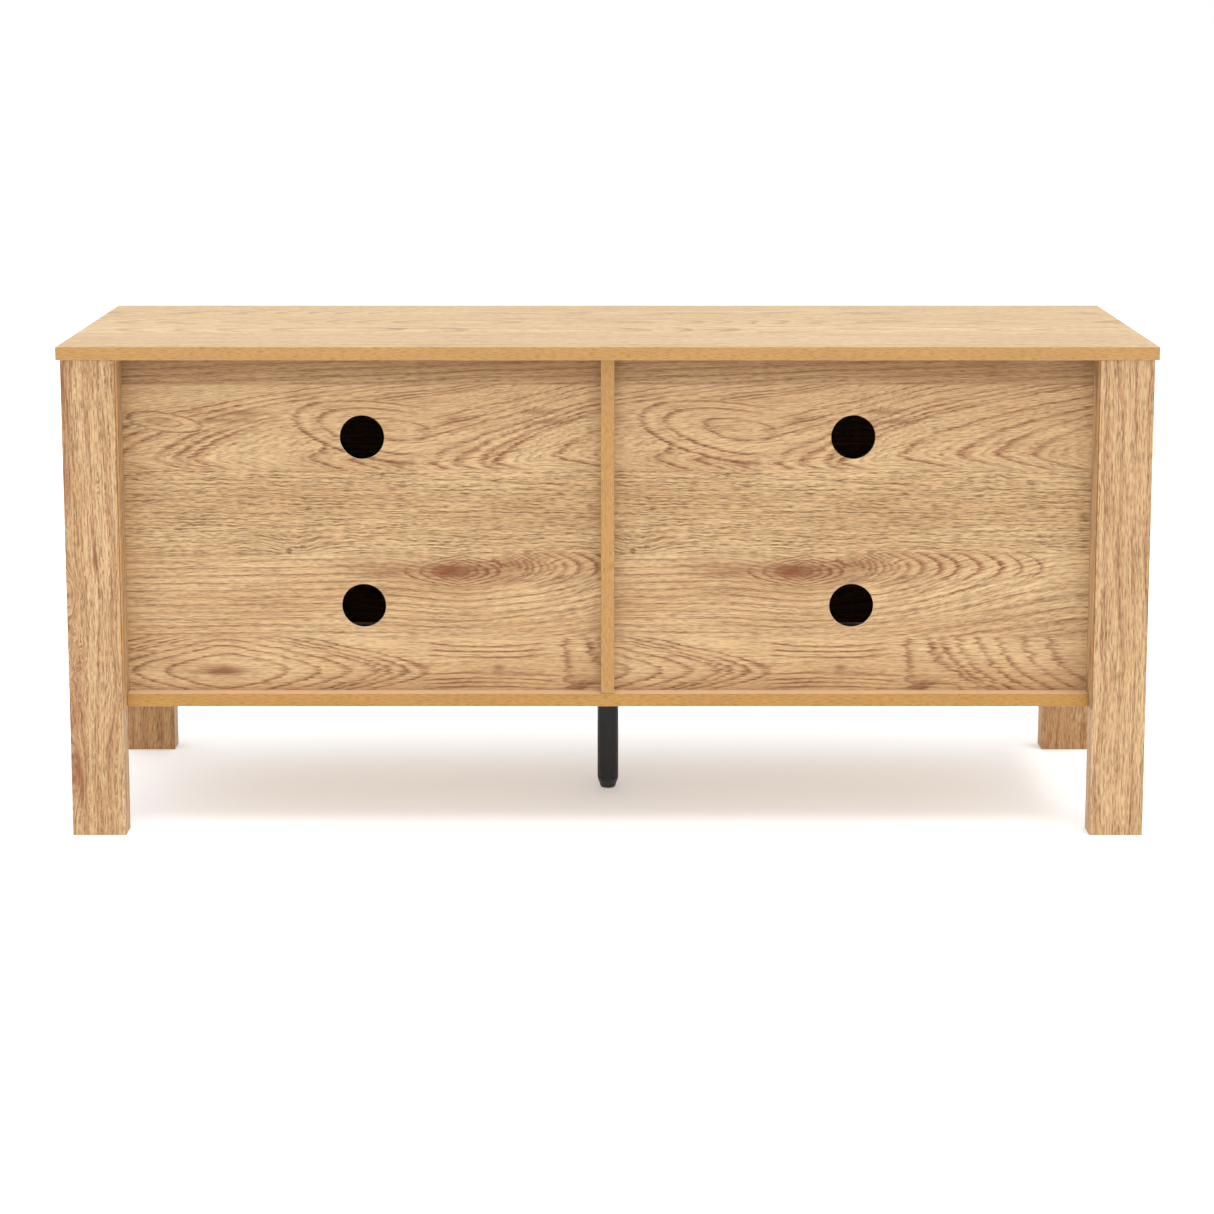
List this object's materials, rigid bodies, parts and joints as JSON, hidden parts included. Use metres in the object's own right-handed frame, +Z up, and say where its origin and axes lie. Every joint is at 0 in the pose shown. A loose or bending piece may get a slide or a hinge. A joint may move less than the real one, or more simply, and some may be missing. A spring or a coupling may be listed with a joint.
{
  "type": "media cabinet",
  "caption": "Low wood media cabinet on post legs, with hinged doors on its bays, adjustable shelves, cable holes in the back panels and a centre support leg.",
  "frame": {"origin": "on the floor, under the middle of the top panel", "axes": "+Z up; -Y is the front, where the doors are, and +Y the back with the cable holes; +X is the right side as seen from the front"},
  "size_m": [1.22, 0.406, 0.559],
  "materials": {
    "oak_top": "pale oak print laminate, satin, grain along the width",
    "oak_legs": "oak print laminate, satin, grain up the leg",
    "oak_boards": "oak print laminate with honey-coloured edge banding",
    "oak_doors": "oak print laminate, satin, grain along the width",
    "oak_backs": "printed thin fibreboard with cathedral grain along the width",
    "black_metal": "satin black powder coat",
    "black_plastic": "moulded black plastic",
    "hinge_steel": "nickel-plated steel",
    "zinc_steel": "zinc-plated steel"
  },
  "bodies": {
    "carcass": {"top_panel": "oak_top", "front_left_leg": "oak_legs", "front_right_leg": "oak_legs", "back_left_leg": "oak_legs", "back_right_leg": "oak_legs", "bottom_panel": "oak_boards", "left_side_panel": "oak_boards", "right_side_panel": "oak_boards", "centre_divider": "oak_boards", "left_shelf": "oak_boards", "right_shelf": "oak_boards", "left_back_panel": "oak_backs", "right_back_panel": "oak_backs", "centre_leg_plate": "black_metal", "centre_leg_tube": "black_metal", "centre_leg_plug": "black_plastic", "left_magnetic_catch": "black_plastic", "right_magnetic_catch": "black_plastic", "centre_leg_screw_1": "zinc_steel", "centre_leg_screw_2": "zinc_steel", "centre_leg_screw_3": "zinc_steel", "centre_leg_screw_4": "zinc_steel", "left_shelf_pin_front_inner": "zinc_steel", "left_shelf_pin_front_outer": "zinc_steel", "left_shelf_pin_back_inner": "zinc_steel", "left_shelf_pin_back_outer": "zinc_steel", "left_door_lower_hinge_frame_leaf": "hinge_steel", "left_door_lower_hinge_pin": "hinge_steel", "left_door_upper_hinge_frame_leaf": "hinge_steel", "left_door_upper_hinge_pin": "hinge_steel", "right_shelf_pin_front_inner": "zinc_steel", "right_shelf_pin_front_outer": "zinc_steel", "right_shelf_pin_back_inner": "zinc_steel", "right_shelf_pin_back_outer": "zinc_steel", "right_door_lower_hinge_frame_leaf": "hinge_steel", "right_door_lower_hinge_pin": "hinge_steel", "right_door_upper_hinge_frame_leaf": "hinge_steel", "right_door_upper_hinge_pin": "hinge_steel"},
    "left_door": {"left_door": "oak_doors", "left_handle_bar": "black_metal", "left_handle_lower_post": "black_metal", "left_handle_upper_post": "black_metal", "left_handle_lower_screw": "zinc_steel", "left_handle_upper_screw": "zinc_steel", "left_catch_strike_plate": "zinc_steel", "left_door_lower_hinge_door_leaf": "hinge_steel", "left_door_upper_hinge_door_leaf": "hinge_steel"},
    "right_door": {"right_door": "oak_doors", "right_handle_bar": "black_metal", "right_handle_lower_post": "black_metal", "right_handle_upper_post": "black_metal", "right_handle_lower_screw": "zinc_steel", "right_handle_upper_screw": "zinc_steel", "right_catch_strike_plate": "zinc_steel", "right_door_lower_hinge_door_leaf": "hinge_steel", "right_door_upper_hinge_door_leaf": "hinge_steel"},
    "levelling_foot": {"levelling_foot": "black_plastic"}
  },
  "joints": [
    {"name": "left_door_hinge", "type": "hinge", "parent": "carcass", "child": "left_door", "pos_m": [-0.5407, -0.1813, 0.3525], "axis": [0, 0, -1], "range_deg": [0, 125]},
    {"name": "right_door_hinge", "type": "hinge", "parent": "carcass", "child": "right_door", "pos_m": [0.5407, -0.1813, 0.3525], "axis": [0, 0, 1], "range_deg": [0, 125]},
    {"name": "levelling_foot_travel", "type": "slide", "parent": "carcass", "child": "levelling_foot", "axis": [0, 0, -1], "range_m": [0, 0.01]}
  ]
}
